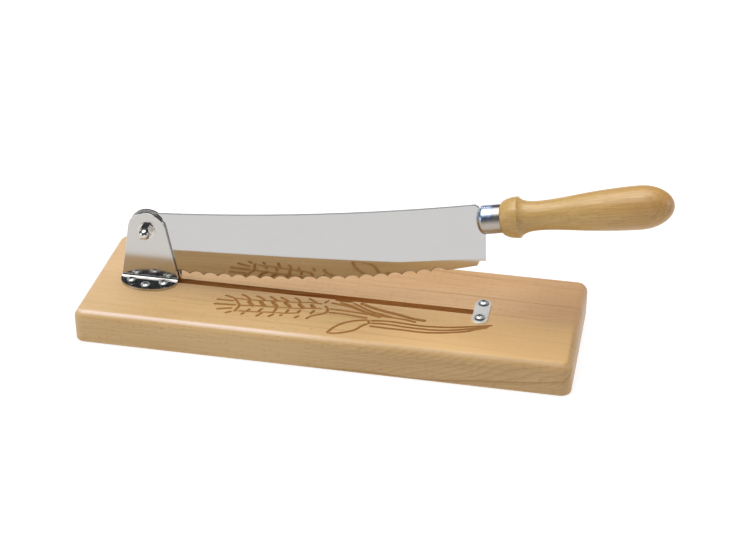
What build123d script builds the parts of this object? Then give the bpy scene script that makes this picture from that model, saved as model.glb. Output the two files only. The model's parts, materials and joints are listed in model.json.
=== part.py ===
from build123d import *
import math
import os

# Bread guillotine: a beech board with a slot, a steel fork screwed astride the slot,
# and a scalloped blade that swings on a bolt through the fork. A turned wooden grip
# sits in a steel ferrule at the far end of the blade.
# Frame: millimetres, origin at the centre of the board's underside, X along the board
# towards the grip, Y across it, Z up. The blade is shown part way open.

# Board
board_length = 400.0
board_width = 130.0
board_thickness = 28.0
board_corner_radius = 8.5
board_top_round = 7.5
board_bottom_round = 2.0

# Slot that takes the cutting edge, and the line that all the metalwork stands on
blade_line_y = -2.0
slot_width = 7.0
edge_entry = 9.6
slot_floor_clearance = 4.4
slot_behind_pivot = 5.5
slot_under_stop = 3.9

# Pivot of the blade
pivot_x = -152.5
pivot_height = 47.0
pivot_bolt_diameter = 6.0
open_angle = 9.8

# Fork of two bent plates
plate_thickness = 2.3
plate_base_width = 47.0
plate_top_radius = 15.7
plate_bend_radius = 2.5
plate_edge_round = 0.4
foot_reach = 17.7
foot_side_screw_x = 13.5
foot_side_screw_y = 7.2
foot_centre_screw_y = 12.6

# Pan-head wood screws
screw_diameter = 4.0
screw_length = 16.0
screw_tip_length = 4.0
screw_head_diameter = 8.2
screw_head_height = 2.6
screw_head_rim = 0.7
screw_recess_width = 1.1
screw_recess_span = 4.4
screw_recess_depth = 1.3

# Stop plate at the slot's far end
stop_plate_length = 35.0
stop_plate_width = 12.6
stop_plate_thickness = 2.0
stop_plate_edge_round = 0.6
stop_screw_spacing = 21.5

# Blade, drawn closed with the pivot at its own origin
blade_thickness = 2.0
heel_radius = 13.9
heel_corner_radius = 11.0
spine_start_angle = 6.0
spine_end_inset = 1.7
spine_end_z = 4.6
spine_sag = 4.9
corner_cut_length = 3.0
corner_cut_drop = 2.6
blade_end_x = 272.0
blade_end_lean = 7.7
notch_length = 5.1
notch_step_run = 2.7
edge_radius = 804.0
edge_low_x = 158.4
bevel_line_radius = 3000.0
bevel_line_low_x = 235.0
bevel_line_low_z = -42.4
bevel_angle = 2.9
bevel_reach = 30.0
edge_grind_angle = 45.0
edge_grind_reach = 3.0
edge_land = 0.3
scallop_count = 20
scallop_pitch = 11.86
scallop_depth = 3.1
scallop_overlap = 0.3
scallop_grind_angle = 45.0
scallop_wheel_length = 40.0
plain_edge_length = 26.5

# Ferrule, tang and grip, along an axis that leaves the blade's upper corner
grip_axis_past_end = 6.9
grip_axis_z = -8.7
grip_axis_tilt = 1.7
ferrule_diameter = 22.4
ferrule_wall = 1.6
ferrule_front = 9.2
ferrule_back = 10.4
ferrule_dome_height = 6.0
ferrule_slit_depth = 13.5
weld_crown = 0.4
tongue_height = 10.0
tongue_length = 2.0
tang_diameter = 7.0
tang_length = 92.0
tang_slot_depth = 4.0
grip_length = 132.3
grip_face_radius = 10.3
grip_bead_radius = 16.1
grip_bead_length = 14.0
grip_bead_fall_angle = 58.0
grip_hollow_radius = 12.2
grip_hollow_at = 20.5
grip_neck_radius = 11.4
grip_neck_at = 28.5
grip_waist_radius = 14.0
grip_waist_at = 60.5
grip_swell_radius = 16.45
grip_swell_at = 92.5
grip_belly_radius = 16.8
grip_belly_at = 106.5

# Bolt, nut, washers and bush
nut_across_flats = 10.0
nut_hex_height = 5.0
nut_dome_radius = 4.7
nut_collar_height = 0.8
nut_chamfer = 0.8
nut_bore_depth = 8.0
bolt_head_height = 4.0
bolt_end_gap = 0.6
washer_diameter = 14.2
washer_thickness = 1.0
bush_diameter = 9.0
spacer_diameter = 18.0
spacer_thickness = 0.4

# Clearances
blade_side_gap = 0.1
bolt_hole_clearance = 0.1
bolt_thread_clearance = 0.03
bush_running_clearance = 0.05
washer_bore_clearance = 0.2
spacer_bore_clearance = 0.2
screw_hole_clearance = 0.1
notch_rest_gap = 0.3
notch_side_gap = 0.3
ferrule_slit_clearance = 0.05
tang_bore_clearance = 0.1
grip_spigot_clearance = 0.1
grip_spigot_gap = 0.4

# Longer than anything here, for cuts that go right through
far = 1000.0

# Worked-out places
board_top = board_thickness
pivot_z = board_top + pivot_height
fork_half_gap = blade_thickness / 2 + blade_side_gap + spacer_thickness
fork_half_width = fork_half_gap + plate_thickness
plate_hole_radius = pivot_bolt_diameter / 2 + bolt_hole_clearance
screw_hole_radius = screw_diameter / 2 + screw_hole_clearance
blade_hole_radius = bush_diameter / 2 + bush_running_clearance
edge_drop = pivot_height + edge_entry
slot_depth = edge_entry + slot_floor_clearance
notch_z = stop_plate_thickness + notch_rest_gap - pivot_height
stop_plate_x = pivot_x + blade_end_x - notch_length + notch_side_gap + stop_plate_width / 2
slot_start_x = pivot_x - slot_behind_pivot
slot_end_x = stop_plate_x - stop_plate_width / 2 + slot_under_stop
spine_end_x = blade_end_x - spine_end_inset
grip_axis_x = blade_end_x + grip_axis_past_end


def upright_prism(face, length):
    """Extrude an XZ face evenly to both sides of the blade line."""
    return extrude(Plane.XZ * face, amount=length / 2, both=True)


def y_cylinder(radius, y_low, y_high):
    """Cylinder on the pivot axis between two distances from the blade line."""
    middle = (y_low + y_high) / 2
    return Pos(0, middle, 0) * Rot(90, 0, 0) * Cylinder(radius, y_high - y_low)


def at_pivot(shape):
    """Carry a shape drawn about the pivot to its place over the board."""
    return Pos(pivot_x, blade_line_y, pivot_z) * shape


def blade_pose(shape):
    """Turn a shape drawn on the closed blade to the angle at which it stands."""
    return at_pivot(Rot(0, -open_angle, 0) * shape)


def foot_screw_places():
    """Three screws in a foot, counted out from the plate's outer face."""
    return [
        (-foot_side_screw_x, foot_side_screw_y),
        (0.0, foot_centre_screw_y),
        (foot_side_screw_x, foot_side_screw_y),
    ]


def bracket_screw_points(side):
    """Places of one foot's screws on the board, side -1 in front and 1 behind."""
    points = []
    for x, reach in foot_screw_places():
        points.append((pivot_x + x, blade_line_y + side * (fork_half_width + reach)))
    return points


def stop_screw_points():
    """Two screws across the slot at the stop plate."""
    points = []
    for side in (-1, 1):
        points.append((stop_plate_x, blade_line_y + side * stop_screw_spacing / 2))
    return points


def pilot_holes(points):
    """Blind holes for the screws in the board's top."""
    holes = []
    for x, y in points:
        hole = Pos(x, y, board_top - screw_length / 2) * Cylinder(screw_hole_radius, screw_length)
        holes.append(hole)
    return holes


def base_board():
    """Solid beech board with its edges rounded, its slot and its pilot holes."""
    board = extrude(RectangleRounded(board_length, board_width, board_corner_radius), board_thickness)
    top_edges = board.faces().sort_by(Axis.Z)[-1].edges()
    board = fillet(top_edges, board_top_round)
    bottom_edges = board.faces().sort_by(Axis.Z)[0].edges()
    board = fillet(bottom_edges, board_bottom_round)
    slot_length = slot_end_x - slot_start_x
    slot_middle = (slot_end_x + slot_start_x) / 2
    slot = extrude(SlotOverall(slot_length, slot_width), slot_depth)
    board -= Pos(slot_middle, blade_line_y, board_top - slot_depth) * slot
    points = bracket_screw_points(-1) + bracket_screw_points(1) + stop_screw_points()
    for hole in pilot_holes(points):
        board -= hole
    return board


def plate_outline():
    """Upright about the pivot: straight as far as the bend, then tapered to a round top."""
    half_base = plate_base_width / 2
    bend_top = plate_bend_radius + plate_thickness - pivot_height
    reach = math.hypot(half_base, bend_top)
    corner_angle = math.atan2(bend_top, half_base)
    touch_angle = corner_angle + math.acos(plate_top_radius / reach)
    touch_x = plate_top_radius * math.cos(touch_angle)
    touch_z = plate_top_radius * math.sin(touch_angle)
    crown = ThreePointArc((touch_x, touch_z), (0, plate_top_radius), (-touch_x, touch_z))
    sides = Polyline(
        (-touch_x, touch_z),
        (-half_base, bend_top),
        (-half_base, -pivot_height),
        (half_base, -pivot_height),
        (half_base, bend_top),
        (touch_x, touch_z),
    )
    return make_face([crown, sides])


def bent_section():
    """Side view of the bent plate: y out from the blade line, z up from the board."""
    inner = fork_half_gap
    outer = fork_half_width
    bend = plate_bend_radius
    thick = plate_thickness
    top = pivot_height + plate_top_radius
    tip = outer + foot_reach
    outer_bend = bend + thick
    points_up = Line((inner, outer_bend), (inner, top))
    across = Line((inner, top), (outer, top))
    points_down = Line((outer, top), (outer, thick + bend))
    hollow = RadiusArc((outer, thick + bend), (outer + bend, thick), -bend)
    along = Line((outer + bend, thick), (tip, thick))
    edge = Line((tip, thick), (tip, 0))
    under = Line((tip, 0), (inner + outer_bend, 0))
    knee = RadiusArc((inner + outer_bend, 0), (inner, outer_bend), outer_bend)
    return make_face([points_up, across, points_down, hollow, along, edge, under, knee])


def bracket(side):
    """One bent plate of the fork, with its half-oval foot turned outwards."""
    sheet = extrude(Plane.YZ * bent_section(), amount=plate_base_width / 2, both=True)
    bend_end = fork_half_width + plate_bend_radius
    column = Pos(0, 0, pivot_height) * upright_prism(plate_outline(), 2 * bend_end)
    oval = extrude(Ellipse(plate_base_width / 2, foot_reach - plate_bend_radius), plate_thickness)
    foot = Pos(0, bend_end, 0) * (oval & Pos(0, far / 2, 0) * Box(far, far, far))
    plate = sheet & (column + foot)
    outer_face = plate.faces().sort_by_distance((0, fork_half_width, pivot_height))[0]
    rim = outer_face.edges().sort_by(Axis.Z)[1:]
    plate = fillet(rim, plate_edge_round)
    for x, reach in foot_screw_places():
        plate -= Pos(x, fork_half_width + reach, 0) * Cylinder(screw_hole_radius, far)
    plate -= Pos(0, 0, pivot_height) * Rot(90, 0, 0) * Cylinder(plate_hole_radius, far)
    if side < 0:
        plate = mirror(plate, about=Plane.XZ)
    return Pos(pivot_x, blade_line_y, board_top) * plate


def wood_screw():
    """Pan-head screw with its head's underside at z = 0 and the shank below."""
    head_radius = screw_head_diameter / 2
    shank_radius = screw_diameter / 2
    shoulder = screw_length - screw_tip_length
    axis_line = Line((0, -screw_length), (0, screw_head_height))
    crown_height = screw_head_height - screw_head_rim
    crown = EllipticalCenterArc((0, screw_head_rim), head_radius, crown_height, start_angle=0, arc_size=90)
    rim = Line((head_radius, screw_head_rim), (head_radius, 0))
    seat = Line((head_radius, 0), (shank_radius, 0))
    shank = Line((shank_radius, 0), (shank_radius, -shoulder))
    taper = Line((shank_radius, -shoulder), (0, -screw_length))
    section = make_face([axis_line, crown, rim, seat, shank, taper])
    screw = revolve(Plane.XZ * section, Axis.Z)
    bar = Box(screw_recess_span, screw_recess_width, 2 * screw_recess_depth)
    cross = bar + Rot(0, 0, 90) * bar
    return screw - Pos(0, 0, screw_head_height) * cross


def screws_at(points, seat_height):
    """A group of equal screws standing on one height."""
    screw = wood_screw()
    placed = [Pos(x, y, seat_height) * screw for x, y in points]
    return Compound(children=placed)


def stop_plate():
    """Round-ended plate across the end of the slot, on which the closed blade lands."""
    strip = extrude(SlotOverall(stop_plate_length, stop_plate_width), stop_plate_thickness)
    strip = Rot(0, 0, 90) * strip
    strip = fillet(strip.faces().sort_by(Axis.Z)[-1].edges(), stop_plate_edge_round)
    plate = Pos(stop_plate_x, blade_line_y, board_top) * strip
    for x, y in stop_screw_points():
        plate -= Pos(x, y, board_top) * Cylinder(screw_hole_radius, far)
    return plate


def edge_point(along):
    """Point of the cutting arc, a distance along it from its lowest place."""
    turn = along / edge_radius
    x = edge_low_x + edge_radius * math.sin(turn)
    z = -edge_drop + edge_radius * (1 - math.cos(turn))
    return (x, z)


def edge_tip_along():
    """Length along the cutting arc from its lowest place to the tip."""
    tip_x = blade_end_x - notch_length - notch_step_run
    return edge_radius * math.asin((tip_x - edge_low_x) / edge_radius)


def scallop_end_along():
    """Length along the cutting arc from its lowest place to the first cusp."""
    return edge_tip_along() - plain_edge_length


def blade_outline():
    """Closed blade seen from the front, before the scallops are ground."""
    lean = math.tan(math.radians(blade_end_lean))
    start = math.radians(spine_start_angle)
    spine_start = (heel_radius * math.sin(start), heel_radius * math.cos(start))
    spine_end = (spine_end_x, spine_end_z)
    cut_end = (spine_end_x + corner_cut_length, spine_end_z - corner_cut_drop)
    top_right = (blade_end_x + (cut_end[1] - notch_z) * lean, cut_end[1])
    end_foot = (blade_end_x, notch_z)
    notch_in = (blade_end_x - notch_length, notch_z)
    tip = edge_point(edge_tip_along())
    heel_x = -heel_radius
    heel_turn = math.asin((heel_x - edge_low_x) / edge_radius)
    heel_low = edge_point(heel_turn * edge_radius)
    heel_middle = heel_radius * math.sqrt(0.5)
    lines = [
        SagittaArc(spine_start, spine_end, -spine_sag),
        Line(spine_end, cut_end),
        Line(cut_end, top_right),
        Line(top_right, end_foot),
        Line(end_foot, notch_in),
        Line(notch_in, tip),
        ThreePointArc(tip, edge_point(0), heel_low),
        Line(heel_low, (heel_x, 0)),
        ThreePointArc((heel_x, 0), (-heel_middle, heel_middle), spine_start),
    ]
    return make_face(lines)


def tongue_outline():
    """Flat tongue of the blade that reaches into the ferrule along the grip's axis."""
    tongue_start = blade_end_x - grip_axis_x
    tongue = Pos((tongue_start + tongue_length) / 2, 0) * Rectangle(
        tongue_length - tongue_start, tongue_height
    )
    return Pos(grip_axis_x, grip_axis_z) * Rot(0, 0, grip_axis_tilt) * tongue


def ground_cut(low_x, low_z, radius, y_at_line, angle, reach):
    """Ring with a slanted face that meets a curved line on the front of the blade."""
    run = reach * math.tan(math.radians(angle))
    above = reach - radius
    below = -reach - radius
    wedge = Polyline(
        (y_at_line - run, above), (y_at_line + run, below), (y_at_line - run, below), close=True
    )
    ring = revolve(Plane.YZ * make_face(wedge), Axis.Y)
    return Pos(low_x, 0, low_z + radius) * ring


def bevel_cut():
    """Wide, shallow bevel below a nearly straight line along the blade."""
    front = -blade_thickness / 2
    return ground_cut(
        bevel_line_low_x, bevel_line_low_z, bevel_line_radius, front, bevel_angle, bevel_reach
    )


def edge_cut():
    """Steep grind along the cutting edge, which shows on the plain part by the tip."""
    line = blade_thickness / 2 - edge_land
    return ground_cut(edge_low_x, -edge_drop, edge_radius, line, edge_grind_angle, edge_grind_reach)


def scallop_cutter():
    """Round grinding wheel laid slantwise on the front of the edge."""
    half = scallop_pitch / 2 + scallop_overlap
    stretch = 1 / math.cos(math.radians(scallop_grind_angle))
    square_depth = scallop_depth / stretch
    radius = (half * half + square_depth * square_depth) / (2 * square_depth)
    wheel = Rot(90 - scallop_grind_angle, 0, 0) * Cylinder(radius, scallop_wheel_length)
    drop = radius * stretch - scallop_depth
    return Pos(0, blade_thickness / 2, -drop) * wheel


def cutting_blade():
    """Blade with its bevel, its row of scallops, its notch and its pivot hole."""
    blade = upright_prism(blade_outline() + tongue_outline(), blade_thickness)
    heel_edges = blade.edges().filter_by(Axis.Y).sort_by(Axis.X)
    low_heel = [e for e in heel_edges if e.center().Z < -heel_radius][0]
    blade = fillet(low_heel, heel_corner_radius)
    blade -= bevel_cut()
    blade -= edge_cut()
    wheel = scallop_cutter()
    wheels = []
    for number in range(scallop_count):
        along = scallop_end_along() - (number + 0.5) * scallop_pitch
        x, z = edge_point(along)
        turn = math.degrees(along / edge_radius)
        wheels.append(Pos(x, 0, z) * Rot(0, -turn, 0) * wheel)
    blade -= wheels
    blade -= Rot(90, 0, 0) * Cylinder(blade_hole_radius, far)
    return blade_pose(blade)


def grip_place(shape):
    """Lay a shape drawn along X on the grip's axis."""
    on_axis = Pos(grip_axis_x, 0, grip_axis_z) * Rot(0, -grip_axis_tilt, 0) * shape
    return blade_pose(on_axis)


def turned(lines):
    """Solid of revolution about X from lines drawn as length and radius."""
    return revolve(Plane.XY * make_face(lines), Axis.X)


def blade_ferrule():
    """Steel tube with a domed end, slit to straddle the blade's upper corner."""
    outer = ferrule_diameter / 2
    inner = outer - ferrule_wall
    front = -ferrule_front
    shoulder = front + ferrule_dome_height
    inner_front = front + ferrule_wall
    inner_dome = ferrule_dome_height - ferrule_wall
    shell = turned([
        EllipticalCenterArc((shoulder, 0), ferrule_dome_height, outer, start_angle=90, arc_size=90),
        Line((front, 0), (inner_front, 0)),
        EllipticalCenterArc((shoulder, 0), inner_dome, inner, start_angle=90, arc_size=90),
        Line((shoulder, inner), (ferrule_back, inner)),
        Line((ferrule_back, inner), (ferrule_back, outer)),
        Line((ferrule_back, outer), (shoulder, outer)),
    ])
    slit_width = blade_thickness + 2 * ferrule_slit_clearance
    slit = Pos(front + ferrule_slit_depth / 2, 0, 0) * Box(ferrule_slit_depth, slit_width, far)
    return grip_place(shell - slit)


def ferrule_weld():
    """Bead of weld that fills the top of the slit and lies on the blade's corner."""
    slit_end = ferrule_slit_depth - ferrule_front
    start = spine_end_x + corner_cut_length - grip_axis_x
    length = slit_end - start
    low = ferrule_diameter / 2 - ferrule_wall
    high = ferrule_diameter / 2 + weld_crown
    bead = Pos(start + length / 2, 0, (low + high) / 2) * Box(length, blade_thickness, high - low)
    crown_edges = bead.edges().filter_by(Axis.X).group_by(Axis.Z)[-1]
    bead = fillet(crown_edges, weld_crown)
    bead = Pos(grip_axis_x, 0, grip_axis_z) * Rot(0, -grip_axis_tilt, 0) * bead
    return blade_pose(bead - upright_prism(blade_outline(), blade_thickness))


def handle_tang():
    """Round rod that runs from the blade's tongue into the grip."""
    start = tongue_length - tang_slot_depth
    rod = Pos(start + tang_length / 2, 0, 0) * Rot(0, 90, 0) * Cylinder(tang_diameter / 2, tang_length)
    slot = Pos(start, 0, 0) * Box(2 * tang_slot_depth, blade_thickness, far)
    return grip_place(rod - slot)


def grip_profile():
    """Turned grip as lengths and radii: bead, hollow neck, long swell and round end."""
    face = ferrule_back
    bead = face + grip_bead_length
    neck = (face + grip_neck_at, grip_neck_radius)
    belly = face + grip_belly_at
    end = face + grip_length
    fall = math.radians(grip_bead_fall_angle)
    bead_rise = grip_bead_radius - grip_face_radius
    shoulder = EllipticalCenterArc(
        (bead, grip_face_radius), grip_bead_length, bead_rise, start_angle=90, arc_size=90
    )
    hollow = Spline(
        (bead, grip_bead_radius),
        (face + grip_hollow_at, grip_hollow_radius),
        neck,
        tangents=[(math.cos(fall), -math.sin(fall)), (1, 0)],
    )
    swell = Spline(
        neck,
        (face + grip_waist_at, grip_waist_radius),
        (face + grip_swell_at, grip_swell_radius),
        (belly, grip_belly_radius),
        tangents=[(1, 0), (1, 0)],
    )
    tail = EllipticalCenterArc((belly, 0), end - belly, grip_belly_radius, start_angle=0, arc_size=90)
    return [
        shoulder,
        hollow,
        swell,
        tail,
        Line((end, 0), (face, 0)),
        Line((face, 0), (face, grip_face_radius)),
    ]


def handle_grip():
    """Turned wooden grip with a spigot inside the ferrule and a bore for the tang."""
    grip = turned(grip_profile())
    spigot_radius = ferrule_diameter / 2 - ferrule_wall - grip_spigot_clearance
    spigot_start = tongue_length + grip_spigot_gap
    spigot_length = ferrule_back - spigot_start
    spigot = Rot(0, 90, 0) * Cylinder(spigot_radius, spigot_length)
    grip += Pos(spigot_start + spigot_length / 2, 0, 0) * spigot
    bore_radius = tang_diameter / 2 + tang_bore_clearance
    bore_length = tongue_length - tang_slot_depth + tang_length + tang_bore_clearance
    grip -= Pos(bore_length / 2, 0, 0) * Rot(0, 90, 0) * Cylinder(bore_radius, bore_length)
    return grip_place(grip)


def hexagon(across_flats, height):
    """Hexagonal prism along Y with its near face at y = 0, growing towards -y."""
    prism = extrude(RegularPolygon(across_flats / 2, 6, major_radius=False), height)
    return Rot(90, 0, 0) * prism


def pivot_cap_nut():
    """Domed nut that closes the bolt on the front of the fork."""
    seat = fork_half_width + washer_thickness
    dome_base = nut_hex_height + nut_collar_height
    corner_radius = nut_across_flats / math.sqrt(3)
    blank = y_cylinder(corner_radius, -nut_hex_height, 0)
    blank = chamfer(blank.edges().sort_by(Axis.Y)[0], nut_chamfer)
    nut = hexagon(nut_across_flats, nut_hex_height) & blank
    nut += y_cylinder(nut_dome_radius, -dome_base, 0)
    nut += Pos(0, -dome_base, 0) * Sphere(nut_dome_radius)
    bore_radius = pivot_bolt_diameter / 2 + bolt_thread_clearance
    nut -= y_cylinder(bore_radius, -nut_bore_depth, 0)
    return at_pivot(Pos(0, -seat, 0) * nut)


def pivot_bolt():
    """Bolt whose hexagon head lies behind the fork and whose end is inside the nut."""
    seat = fork_half_width + washer_thickness
    shank = y_cylinder(pivot_bolt_diameter / 2, -seat - nut_bore_depth + bolt_end_gap, seat)
    head = Pos(0, seat + bolt_head_height, 0) * hexagon(nut_across_flats, bolt_head_height)
    return at_pivot(shank + head)


def ring(outer_diameter, bore_diameter, y_low, y_high):
    """Flat ring on the pivot axis."""
    disc = y_cylinder(outer_diameter / 2, y_low, y_high)
    return disc - y_cylinder(bore_diameter / 2, y_low, y_high)


def outer_washer(side):
    """Washer between the fork's outer face and the nut or the bolt's head."""
    bore = pivot_bolt_diameter + 2 * washer_bore_clearance
    near = side * fork_half_width
    out = side * (fork_half_width + washer_thickness)
    return at_pivot(ring(washer_diameter, bore, min(near, out), max(near, out)))


def pivot_bush():
    """Sleeve that holds the fork open and carries the blade."""
    bore = pivot_bolt_diameter + 2 * bolt_hole_clearance
    return at_pivot(ring(bush_diameter, bore, -fork_half_gap, fork_half_gap))


def spacer(side):
    """Thin ring round the bush between the blade and one plate of the fork."""
    bore = bush_diameter + 2 * spacer_bore_clearance
    near = side * fork_half_gap
    out = side * (fork_half_gap - spacer_thickness)
    return at_pivot(ring(spacer_diameter, bore, min(near, out), max(near, out)))


os.makedirs("parts", exist_ok=True)
foot_seat = board_top + plate_thickness
stop_seat = board_top + stop_plate_thickness
pieces = {
    "base_board": base_board(),
    "front_bracket": bracket(-1),
    "rear_bracket": bracket(1),
    "front_bracket_screws": screws_at(bracket_screw_points(-1), foot_seat),
    "rear_bracket_screws": screws_at(bracket_screw_points(1), foot_seat),
    "stop_plate": stop_plate(),
    "stop_plate_screws": screws_at(stop_screw_points(), stop_seat),
    "pivot_bolt": pivot_bolt(),
    "pivot_cap_nut": pivot_cap_nut(),
    "front_washer": outer_washer(-1),
    "rear_washer": outer_washer(1),
    "pivot_bush": pivot_bush(),
    "front_spacer": spacer(-1),
    "rear_spacer": spacer(1),
    "cutting_blade": cutting_blade(),
    "blade_ferrule": blade_ferrule(),
    "ferrule_weld": ferrule_weld(),
    "handle_tang": handle_tang(),
    "handle_grip": handle_grip(),
}
for name, shape in pieces.items():
    export_step(shape, f"parts/{name}.step")
    print(name, round(shape.volume, 1))
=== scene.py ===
# %% [markdown]
# A bread guillotine, dressed.
# The real thing is a beech board with a slot, a polished steel fork screwed astride the
# slot, and a long scalloped blade that swings on a bolt and is lifted by a turned grip.
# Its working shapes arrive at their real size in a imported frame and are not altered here.
# This lesson gives each of them its finish, and remodels the two pieces whose surface is
# worked by hand: the carved board and the weld on the ferrule.

# %% Load the frame
import json
import math

import bpy
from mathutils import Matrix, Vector


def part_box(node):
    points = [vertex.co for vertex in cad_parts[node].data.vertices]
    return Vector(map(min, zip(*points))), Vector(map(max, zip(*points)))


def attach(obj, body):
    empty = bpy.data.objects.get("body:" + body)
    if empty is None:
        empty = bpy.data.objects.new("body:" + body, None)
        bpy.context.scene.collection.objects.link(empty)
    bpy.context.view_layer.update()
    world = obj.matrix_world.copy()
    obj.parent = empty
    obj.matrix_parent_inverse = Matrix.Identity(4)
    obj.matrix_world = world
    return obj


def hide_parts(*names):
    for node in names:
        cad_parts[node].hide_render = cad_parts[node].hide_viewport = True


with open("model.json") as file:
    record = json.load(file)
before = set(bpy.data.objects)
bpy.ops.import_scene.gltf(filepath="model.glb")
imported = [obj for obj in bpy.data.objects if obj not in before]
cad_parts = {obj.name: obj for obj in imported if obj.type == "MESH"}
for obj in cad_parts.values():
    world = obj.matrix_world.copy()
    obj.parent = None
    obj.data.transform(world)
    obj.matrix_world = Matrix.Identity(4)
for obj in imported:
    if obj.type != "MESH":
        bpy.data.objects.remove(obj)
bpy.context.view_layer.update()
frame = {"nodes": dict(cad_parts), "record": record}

MM = 0.001
parts = frame["nodes"]
for name in sorted(parts):
    low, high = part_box(name)
    print(name, [round(side / MM, 1) for side in high - low], "mm")

# %% [markdown]
# The camera stands in front of the board, a little to the right and well above it, and
# looks slightly down with a long lens. Its place was worked out from the board's edges,
# the slot and the blade, so what is modelled to size also lands where it should.

# %% Camera
CAMERA_PLACE = Vector((0.27406, -1.19391, 0.79780))
CAMERA_AIM = Vector((0.0328, 0.0066, 0.0476))
CAMERA_LENS = 85.9


def towards(place, aim):
    """Turn that points a camera or a light from a place at an aim."""
    return (Vector(aim) - Vector(place)).to_track_quat("-Z", "Y").to_euler()


bpy.ops.object.camera_add(location=CAMERA_PLACE)
camera = bpy.context.object
camera.name = "studio_camera"
camera.rotation_euler = towards(CAMERA_PLACE, CAMERA_AIM)
camera.data.lens = CAMERA_LENS
bpy.context.scene.camera = camera
print("camera stands", round((CAMERA_AIM - CAMERA_PLACE).length, 3), "m away")

# %% [markdown]
# The studio is a lit white table in a dim room. Polished steel shows nothing of its own:
# it is white where it mirrors the table or a soft light, and nearly black where it
# mirrors the room. So the room is kept dim from a little above the table's horizon up to
# the overhead light, which gives the fork its black edges and its dark foot. The table
# glows less for light that bounces off matt surfaces, so that it doesn't wash out the
# grip from below.

# %% Table and room
TABLE_SIZE = 14.0
TABLE_LEVEL = -0.0004    # a hair below the board's underside, so the two never coincide
TABLE_GREY = (0.32, 0.32, 0.32, 1)
TABLE_ROUGHNESS = 0.9
TABLE_GLOSS = 0.1
TABLE_LIGHT = (1, 1, 1, 1)
TABLE_GLOW = 0.82
TABLE_BOUNCE = 0.46
ROOM_DARK = (0.060, 0.070, 0.095, 1.0)
ROOM_PALE = (0.40, 0.42, 0.45, 1.0)
ROOM_TOP = (0.9, 0.9, 0.9, 1.0)
ROOM_STOPS = [            # from the horizon at 0 to straight up at 1
    (0.0, ROOM_PALE), (0.10, ROOM_PALE), (0.34, ROOM_DARK),
    (0.74, ROOM_DARK), (0.9, ROOM_PALE), (1.0, ROOM_TOP),
]

bpy.ops.mesh.primitive_plane_add(size=TABLE_SIZE, location=(0, 0, TABLE_LEVEL))
table = bpy.context.object
table.name = "white_table"
table_finish = bpy.data.materials.new("white_table")
table_finish.use_nodes = True
table_nodes = table_finish.node_tree
table_shader = table_nodes.nodes["Principled BSDF"]
table_shader.inputs["Base Color"].default_value = TABLE_GREY
table_shader.inputs["Roughness"].default_value = TABLE_ROUGHNESS
table_shader.inputs["Specular IOR Level"].default_value = TABLE_GLOSS
table_shader.inputs["Emission Color"].default_value = TABLE_LIGHT
paths = table_nodes.nodes.new("ShaderNodeLightPath")
glow = table_nodes.nodes.new("ShaderNodeMapRange")
glow.inputs["To Min"].default_value = TABLE_GLOW
glow.inputs["To Max"].default_value = TABLE_BOUNCE
table_nodes.links.new(paths.outputs["Is Diffuse Ray"], glow.inputs["Value"])
table_nodes.links.new(glow.outputs[0], table_shader.inputs["Emission Strength"])
table.data.materials.append(table_finish)


def fill_ramp(ramp, stops):
    """Give a colour ramp its stops, each a share and a colour, from first to last."""
    elements = ramp.color_ramp.elements
    for element, (share, colour) in zip(elements, (stops[0], stops[-1])):
        element.position = share
        element.color = colour
    for share, colour in stops[1:-1]:
        elements.new(share).color = colour


world = bpy.data.worlds.new("studio_room")
world.use_nodes = True
bpy.context.scene.world = world
room = world.node_tree
direction = room.nodes.new("ShaderNodeTexCoord")
split = room.nodes.new("ShaderNodeSeparateXYZ")
shades = room.nodes.new("ShaderNodeValToRGB")
fill_ramp(shades, ROOM_STOPS)
room.links.new(direction.outputs["Generated"], split.inputs[0])
room.links.new(split.outputs["Z"], shades.inputs["Fac"])
room.links.new(shades.outputs["Color"], room.nodes["Background"].inputs["Color"])
print("table", TABLE_SIZE, "m wide in a room of", len(ROOM_STOPS), "shades")

# %% [markdown]
# A product table has one wide soft box overhead and weaker panels that open the shadows.
# Large area lights do the same here. A small strong lamp would put hard spots on the
# steel and sharp shadows under the grip, which the photo doesn't show.

# %% Lights
LIGHTS = [                # name, place, aim, width, depth and power in watts
    ("overhead", (-0.25, 0.10, 1.7), (0.0, 0.0, 0.0), 1.9, 1.3, 29),
    ("left_fill", (-1.7, -1.2, 0.75), (0.0, 0.0, 0.05), 0.9, 0.6, 8),
    ("front_fill", (0.9, -2.2, 0.35), (0.0, 0.0, 0.03), 1.4, 0.35, 4),
    ("right_fill", (1.6, 0.3, 0.5), (0.2, 0.0, 0.02), 0.6, 0.6, 4),
]
for title, place, aim, width, depth, power in LIGHTS:
    bpy.ops.object.light_add(type="AREA", location=place)
    light = bpy.context.object
    light.name = title
    light.data.shape = "RECTANGLE"
    light.data.size = width
    light.data.size_y = depth
    light.data.energy = power
    light.rotation_euler = towards(place, aim)
bpy.context.scene.view_settings.view_transform = "Standard"

# %% [markdown]
# Finishes are node trees, and the same few moves come back in each: make a material, add
# a node, give it its inputs. Small helpers keep the recipes short enough to read. Every
# pattern reads Object coordinates, so it is fixed to its piece. An effect that several
# finishes share is a node group, so that it is built once.

# %% Helpers for nodes, materials and groups
def put(tree, value, socket):
    """Give a socket its value: the output of a node is linked, anything else is set."""
    if isinstance(value, bpy.types.NodeSocket):
        tree.links.new(value, socket)
    else:
        socket.default_value = value


def feed(tree, node, **inputs):
    """Give a node inputs by name, with _ for each space in the name."""
    for name, value in inputs.items():
        put(tree, value, node.inputs[name.replace("_", " ")])


def add(tree, kind, settings=None, **inputs):
    """Add a node with its settings and inputs."""
    made = tree.nodes.new(kind)
    for name, value in (settings or {}).items():
        setattr(made, name, value)
    feed(tree, made, **inputs)
    return made


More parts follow.
